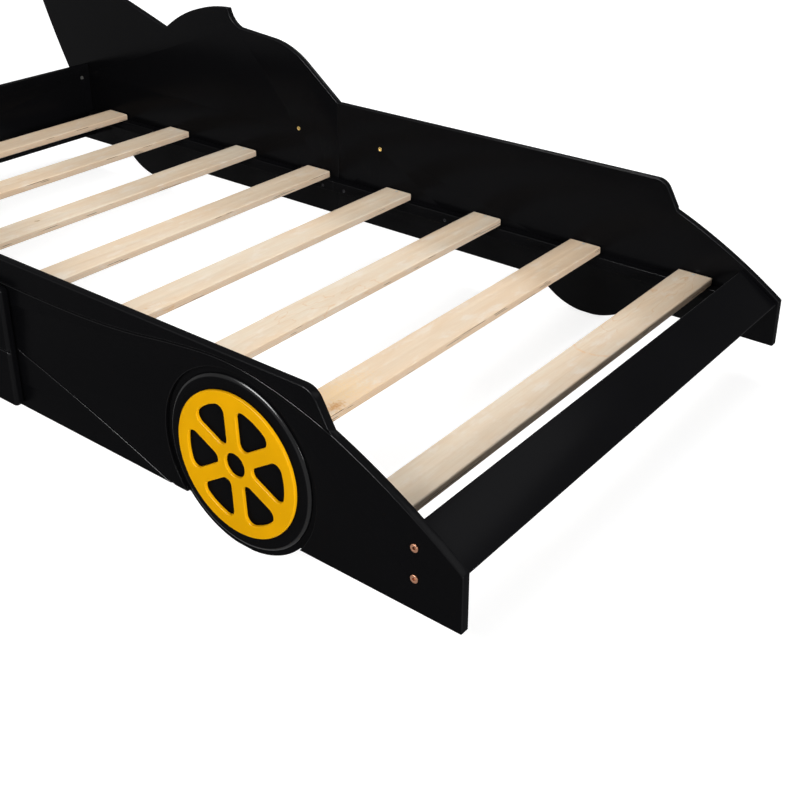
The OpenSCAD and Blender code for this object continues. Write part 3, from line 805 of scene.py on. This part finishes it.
def places_tree():
    """Repeats a fastener at each place, facing as the place says and turned at random"""
    tree, given, end = geometry_tree("Fasteners at places", [
        ("Fastener", "Object"), ("Most turn", "Float", math.tau), ("Seed", "Int", 0),
    ])
    facing = add(tree, "GeometryNodeInputNamedAttribute", {"Name": "facing"}, data_type="FLOAT_VECTOR")
    align = add(tree, "FunctionNodeAlignRotationToVector", {"Vector": facing}, axis="Z")
    turn = random_number(tree, given["Seed"], given["Most turn"])
    spin = add(tree, "FunctionNodeAxisAngleToRotation", {"Angle": turn})
    turned = add(tree, "FunctionNodeRotateRotation", {"Rotation": align, "Rotate By": spin},
                 rotation_space="LOCAL")
    copies = add(tree, "GeometryNodeInstanceOnPoints", {
        "Points": given["Geometry"], "Instance": geometry_of(tree, given["Fastener"]), "Rotation": turned,
    })
    return finish_tree(tree, copies, given["Finish"], end)


def rim_tree():
    """A spoked rim: a disc less its hub and a ring of windows, given its thickness"""
    tree, given, end = geometry_tree("Spoked rim", [
        ("Window", "Object"), ("Spokes", "Int", 6), ("Radius", "Float", 0.12), ("Hub", "Float", 0.02),
        ("Thickness", "Float", 0.006), ("Turn", "Float", 0.0),
    ])
    outline = add(tree, "GeometryNodeMeshToCurve", {"Mesh": geometry_of(tree, given["Window"])})
    step = maths(tree, "DIVIDE", math.tau, given["Spokes"])
    turn = times(tree, add(tree, "GeometryNodeInputIndex"), step)
    windows = add(tree, "GeometryNodeInstanceOnPoints", {
        "Points": add(tree, "GeometryNodePoints", {"Count": given["Spokes"]}),
        "Instance": outline,
        "Rotation": add(tree, "ShaderNodeCombineXYZ", {"Z": maths(tree, "ADD", turn, given["Turn"])}),
    })
    outlines = add(tree, "GeometryNodeJoinGeometry", {0: windows})
    for title, points in (("Radius", 144), ("Hub", 64)):
        sizes = {"Resolution": points, "Radius": given[title]}
        fill(outlines, {0: add(tree, "GeometryNodeCurvePrimitiveCircle", sizes, mode="RADIUS")})
    real = add(tree, "GeometryNodeRealizeInstances", {0: outlines})
    face = add(tree, "GeometryNodeFillCurve", {0: real}, mode="NGONS")
    body = add(tree, "GeometryNodeExtrudeMesh", {
        "Mesh": face, "Individual": False, "Offset Scale": given["Thickness"],
    }, mode="FACES")
    whole = add(tree, "GeometryNodeJoinGeometry", {0: body})
    fill(whole, {0: add(tree, "GeometryNodeFlipFaces", {"Mesh": face})})
    closed = add(tree, "GeometryNodeMergeByDistance", {"Geometry": whole, "Distance": 0.00001})
    return finish_tree(tree, closed, given["Finish"], end)


def arc(centre, radius, start, stop, count, inner=False):
    """Points along an arc, without its two ends if only the inner ones are asked for"""
    steps = range(1, count) if inner else range(count + 1)
    return [
        Vector(centre) + radius * Vector((math.cos(t), math.sin(t)))
        for t in (start + (stop - start) * i / count for i in steps)
    ]


def window_outline(wheels):
    """One window of a rim, about the local +X axis"""
    half, side, reach = math.pi / wheels.spokes, wheels.spoke / 2, wheels.radius - wheels.band
    inner, outer = wheels.corner_in, wheels.corner_out
    turn = half - math.asin((side + outer) / (reach - outer))
    corner = (reach - outer) * Vector((math.cos(turn), math.sin(turn)))
    right = math.pi / 2
    return (
        arc(((side + inner) / math.sin(half), 0), inner, right + half, 3 * right - half, 12)
        + arc((corner.x, -corner.y), outer, -right - half, -turn, 16)
        + arc((0, 0), reach, -turn, turn, 16, inner=True)
        + arc(corner, outer, turn, right + half, 16)
    )


class BuildRims(RaceBedOperator):
    """Yellow wheel rims with rounded edges, from a tree"""

    bl_idname = "race_bed.rims"
    bl_label = "Wheel rims"

    def execute(self, context):
        wheels, edges = context.scene.race_bed_wheels, context.scene.race_bed_edges
        points = window_outline(wheels)
        around = [(i, (i + 1) % len(points)) for i in range(len(points))]
        loop = bpy.data.meshes.new("rim window")
        loop.from_pydata([(p.x, p.y, 0) for p in points], around, [])
        window = hidden_object("rim window", loop)
        mesh = run_tree(rim_tree(), bpy.data.meshes.new("empty"), {
            "Window": window, "Spokes": wheels.spokes, "Radius": wheels.radius, "Hub": wheels.hub,
            "Thickness": wheels.thickness, "Turn": wheels.turn, "Finish": finish("yellow_paint"),
        })
        bpy.data.objects.remove(window)
        for face in mesh.polygons:
            face.use_smooth = True
        rim = round_edges(new_object("rim blank", mesh), edges.rim, 4, "ANGLE")
        for side, s in (("right", 1), ("left", -1)):
            for end in ("front", "rear"):
                self.fix(rim, f"rim_{end}_{side}", s)
        return {"FINISHED"}

    def fix(self, rim, node, s):
        """Stands a copy of the rim on a side board, with s as -1 for its mirror image"""
        low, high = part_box(node)
        seat = high.y if s > 0 else low.y
        centre = Vector(((low.x + high.x) / 2, seat, (low.z + high.z) / 2))
        upright = Matrix(((1, 0, 0), (0, 0, -s), (0, 1, 0))).to_4x4()
        mesh = rim.copy()
        mesh.transform(Matrix.Translation(centre) @ upright)
        if s < 0:
            mesh.flip_normals()
        piece(node + "_wood", mesh, "yellow_paint", [node])


class BuildSlats(RaceBedOperator):
    """Plywood slats, a row of one slat repeated by a tree"""

    bl_idname = "race_bed.slats"
    bl_label = "Slats"

    def execute(self, context):
        edges = context.scene.race_bed_edges
        slat = hidden_object("slat", rounded_board(SLATS[0], edges.slat_end))
        mesh = run_tree(row_tree(), bpy.data.meshes.new("empty"), {
            "Slat": slat, "Count": len(SLATS), "Step": (SLAT_PITCH, 0, 0), "Seed": ROW_SEED,
            "Finish": finish("slat_ply"),
        })
        bpy.data.objects.remove(slat)
        piece("slats", mesh, "slat_ply", SLATS)
        return {"FINISHED"}


# Fasteners


def round_row(bm, count, z, radius):
    """A row of vertices round Z, at a radius or at the one that a function gives for each angle"""
    row = []
    for i in range(count):
        t = math.tau * i / count
        r = radius(t) if callable(radius) else radius
        row.append(bm.verts.new((r * math.cos(t), r * math.sin(t), z)))
    return row


def hexagon(corner):
    """The radius of a hexagon at an angle, from that of its corners"""
    return lambda t: corner * math.cos(math.pi / 6) / math.cos(t % (math.pi / 3) - math.pi / 6)


def cross(arm, half):
    """The radius of a cross at an angle, from the length of its arms and half their width"""

    def radius(t):
        off = abs((t + math.pi / 4) % (math.pi / 2) - math.pi / 4)
        return min(arm, half / max(math.sin(off), 1e-6))

    return radius


def skin(bm, rows, inwards=False):
    """Adds the faces between rows of vertices, of which the last may be a single one"""
    for a, b in zip(rows, rows[1:]):
        for i in range(len(a)):
            j = (i + 1) % len(a)
            if len(b) == 1:
                corners = (a[i], a[j], b[0])
            elif inwards:
                corners = (a[j], a[i], b[i], b[j])
            else:
                corners = (a[i], a[j], b[j], b[i])
            bm.faces.new(corners)


def turned_mesh(bm, name):
    """The mesh of a turned body, smooth but for its sharp edges"""
    bmesh.ops.recalc_face_normals(bm, faces=bm.faces)
    for e in bm.edges:
        e.smooth = e.calc_face_angle(0) < SHARP
    for f in bm.faces:
        f.smooth = True
    mesh = bpy.data.meshes.new(name)
    bm.to_mesh(mesh)
    bm.free()
    return mesh


def socket_bolt(name, head, height, shank, total, key, deep, ease, conical=False):
    """A bolt with a hex socket, its head's top at z = 0 and its shank running down"""
    bm = bmesh.new()
    count, corner_steps = 36, 4
    profile = [(key * 1.02, 0.0)]
    for i in range(corner_steps, -1, -1):
        t = math.pi / 2 * i / corner_steps
        profile.append((head - ease + ease * math.cos(t), ease * math.sin(t) - ease))
    if not conical:
        profile.append((head, -height))
    tip_length, tip_step = 0.001, 0.0008
    profile += [(shank, -height), (shank, -total + tip_length), (shank - tip_step, -total)]
    rows = [round_row(bm, count, z, r) for r, z in profile]
    rows.append([bm.verts.new((0, 0, -total))])
    skin(bm, rows)
    socket = [rows[0]] + [round_row(bm, count, z, hexagon(key * 0.97)) for z in (-0.0002, -deep)]
    skin(bm, socket, inwards=True)
    bm.faces.new(socket[-1])
    return turned_mesh(bm, name)


def cross_head_screw(name, head, depth, shank, total):
    """A countersunk wood screw, its head's top at z = 0, with a cross recess and a coarse thread"""
    arm, half = head * 0.62, shank * 0.26
    profile = [
        (-depth * 0.75, cross(arm * 0.35, half * 0.6)), (-0.0001, cross(arm, half)),
        (0.0, head * 0.82), (-0.00008, head * 0.97), (-0.0003, head), (-depth, shank),
    ]
    root, crest, pitch = 0.0006, 0.0012, 0.0014
    z = -depth
    while z > -total + 0.004:
        profile += [(z - root, shank * 0.72), (z - crest, shank)]
        z -= pitch
    profile.append((-total + 0.0006, shank * 0.3))
    bm = bmesh.new()
    rows = [round_row(bm, 32, z, radius) for z, radius in profile]
    bm.faces.new(rows[0])
    skin(bm, rows)
    bm.faces.new(rows[-1])
    return turned_mesh(bm, name)


def islands(node):
    """The corners of each separate solid in a CAD node, in the mesh's own order"""
    bm = joined(node)
    parts = connected(bm.verts, lambda v: [e.other_vert(v) for e in v.link_edges])
    found = [[v.co.copy() for v in part] for part in parts]
    bm.free()
    return found


def outwards(place):
    """The direction across the bed from its middle to a place"""
    return (0, 1 if place.y > 0 else -1, 0)


def inwards(place):
    return (0, -1 if place.y > 0 else 1, 0)


def upwards(place):
    return (0, 0, 1)


def set_fasteners(name, fastener, slot, node, facing, seed):
    """Repeats a fastener at the head of each solid of a CAD node, facing as a function says"""
    heads, directions = [], []
    for solid in islands(node):
        low, high = limits(solid)
        head = Vector((a + b for a, b in zip(low, high))) / 2
        out = facing(head)
        for k in range(3):
            if out[k]:
                head[k] = high[k] if out[k] > 0 else low[k]
        heads.append(head)
        directions += out
    base = bpy.data.meshes.new("places")
    base.from_pydata(heads, [], [])
    base.attributes.new("facing", "FLOAT_VECTOR", "POINT").data.foreach_set("vector", directions)
    model = hidden_object(name + " model", fastener)
    tree = bpy.data.node_groups.get("Fasteners at places") or places_tree()
    mesh = run_tree(tree, base, {
        "Fastener": model, "Most turn": math.tau, "Seed": seed, "Finish": finish(slot),
    })
    bpy.data.objects.remove(model)
    piece(name, mesh, slot, [node])


class BuildBolts(RaceBedOperator):
    """Bronze frame bolts and brass door bolts with hex sockets"""

    bl_idname = "race_bed.bolts"
    bl_label = "Bolts"

    def execute(self, context):
        for node, seed in (("nose_bolts", 1), ("head_bolts", 2)):
            bolt = socket_bolt(
                "frame bolt", head=0.0064, height=0.002, shank=0.003, total=0.051, key=0.003,
                deep=0.0035, ease=0.0009,
            )
            set_fasteners(node + "_turned", bolt, "bronze_bolt", node, outwards, seed)
        bolt = socket_bolt(
            "door bolt", head=0.005, height=0.0024, shank=0.003, total=0.0259, key=0.0023,
            deep=0.0018, ease=0.0002, conical=True,
        )
        set_fasteners("door_bolts_turned", bolt, "brass_bolt", "door_bolts", inwards, 3)
        return {"FINISHED"}


class BuildScrews(RaceBedOperator):
    """Countersunk screws of the slats and of the slat rails"""

    bl_idname = "race_bed.screws"
    bl_label = "Wood screws"

    def execute(self, context):
        for kind, total, slot, facing, seed in (
            ("slat", 0.028, "zinc", upwards, 5),
            ("rail", 0.032, "dark_screw", inwards, 6),
        ):
            screw = cross_head_screw(kind + " screw", head=0.0038, depth=0.0024, shank=0.002, total=total)
            set_fasteners(kind + "_screws_turned", screw, slot, kind + "_screws", facing, seed)
        return {"FINISHED"}


class FinishHidden(RaceBedOperator):
    """Finishes for the nuts, inserts and dowels, which keep their CAD shape"""

    bl_idname = "race_bed.hidden_parts"
    bl_label = "Nuts, inserts and dowels"

    def execute(self, context):
        slots = {s["node"]: s["material_slot"] for s in frame["record"]["subparts"]}
        for node, obj in frame["nodes"].items():
            if not obj.hide_render:
                obj.data.materials.clear()
                obj.data.materials.append(finish(slots[node]))
        return {"FINISHED"}


# Stage


def aimed(name, data, place, ahead):
    """Adds a camera or a lamp that looks ahead from a place"""
    obj = new_object(name, data)
    obj.location = place
    obj.rotation_mode = "QUATERNION"
    obj.rotation_quaternion = ahead.to_track_quat("-Z", "Y")
    return obj


def shown_white(tree):
    """1 where the camera, a gloss or a clear piece looks, and 0 for the light that is cast"""
    path = add(tree, "ShaderNodeLightPath").outputs
    seen = maths(tree, "MAXIMUM", path["Is Camera Ray"], path["Is Glossy Ray"])
    return maths(tree, "MAXIMUM", seen, path["Is Transmission Ray"])


class BuildStage(RaceBedOperator):
    """Camera, soft lamps, pale floor and white backdrop"""

    bl_idname = "race_bed.stage"
    bl_label = "Stage"

    def execute(self, context):
        scene, stage = context.scene, context.scene.race_bed_stage
        scene.view_settings.view_transform = "Standard"
        self.camera(scene, stage)
        self.lamps(stage)
        self.backdrop(scene, stage)
        self.floor()
        return {"FINISHED"}

    def camera(self, scene, stage):
        data = bpy.data.cameras.new("camera")
        data.sensor_width, data.lens, data.shift_y = 36, stage.lens * 1000, stage.shift
        data.clip_start, data.clip_end = 0.05, 100
        level = math.cos(stage.dip)
        ahead = Vector((
            -math.cos(stage.bearing) * level, math.sin(stage.bearing) * level, -math.sin(stage.dip)
        ))
        scene.camera = aimed("camera", data, stage.camera, ahead)

    def lamps(self, stage):
        """Soft lamps, and cards that only glosses show"""
        for name, place, aim, size, strength in LAMPS:
            data = bpy.data.lights.new(name, "AREA")
            data.shape = "RECTANGLE"
            data.size, data.size_y = size
            data.energy = getattr(stage, strength)
            lamp = aimed(name, data, place, Vector(aim) - Vector(place))
            lamp.visible_diffuse = name.endswith("lamp")

    def backdrop(self, scene, stage):
        """White where it is seen, and a soft light for the rest"""
        scene.world = bpy.data.worlds.new("studio")
        scene.world.use_nodes = True
        tree = scene.world.node_tree
        fill(tree.nodes["Background"], {
            "Color": (1, 1, 1, 1), "Strength": ramp(tree, shown_white(tree), 0, 1, (stage.sky, 1)),
        })
        arrange(tree)

    def floor(self):
        """A wide white floor that keeps a soft shadow of the bed"""
        mesh = bpy.data.meshes.new("floor")
        reach = 20
        corners = [(-reach, -reach, 0), (reach, -reach, 0), (reach, reach, 0), (-reach, reach, 0)]
        mesh.from_pydata(corners, [], [(0, 1, 2, 3)])
        obj = new_object("floor", mesh)
        material, tree, shader, place = new_finish("white floor")
        away = vector_maths(tree, "LENGTH", place).outputs["Value"]
        white = ramp(tree, away, 1.8, 4.5, (0.74, 1))
        fill(shader, {
            "Base Color": (0.5, 0.5, 0.5, 1),
            "Roughness": 0.9,
            "Specular IOR Level": 0,
            "Emission Color": (1, 1, 1, 1),
            "Emission Strength": times(tree, shown_white(tree), white),
        })
        arrange(tree)
        mesh.materials.append(material)


class RaceBedPanel(bpy.types.Panel):
    """Lists the bed's operators and settings"""

    bl_idname = "VIEW3D_PT_race_bed"
    bl_label = "Race-car bed"
    bl_space_type = "VIEW_3D"
    bl_region_type = "UI"
    bl_category = "Race-car bed"

    def draw(self, context):
        layout = self.layout
        for operator in OPERATORS:
            layout.operator(operator.bl_idname)
        for name in SETTINGS:
            box = layout.box()
            settings = getattr(context.scene, name)
            for key in settings.bl_rna.properties.keys():
                if key not in ("rna_type", "name"):
                    box.prop(settings, key)


SETTINGS = {
    "race_bed_edges": RaceBedEdges,
    "race_bed_wheels": RaceBedWheels,
    "race_bed_colours": RaceBedColours,
    "race_bed_stage": RaceBedStage,
}
OPERATORS = (
    BuildSideBoards, BuildDoorBlocks, BuildCrossBoards, BuildRims, BuildSlats, BuildBolts,
    BuildScrews, FinishHidden, BuildStage,
)


def register():
    for item in (*SETTINGS.values(), *OPERATORS, RaceBedPanel):
        bpy.utils.register_class(item)
    for name, item in SETTINGS.items():
        setattr(bpy.types.Scene, name, PointerProperty(type=item))


def unregister():
    for name in SETTINGS:
        delattr(bpy.types.Scene, name)
    for item in reversed((*SETTINGS.values(), *OPERATORS, RaceBedPanel)):
        bpy.utils.unregister_class(item)


def main():
    register()
    for operator in OPERATORS:
        section, name = operator.bl_idname.split(".")
        getattr(getattr(bpy.ops, section), name)()


if __name__ == "__main__":
    main()
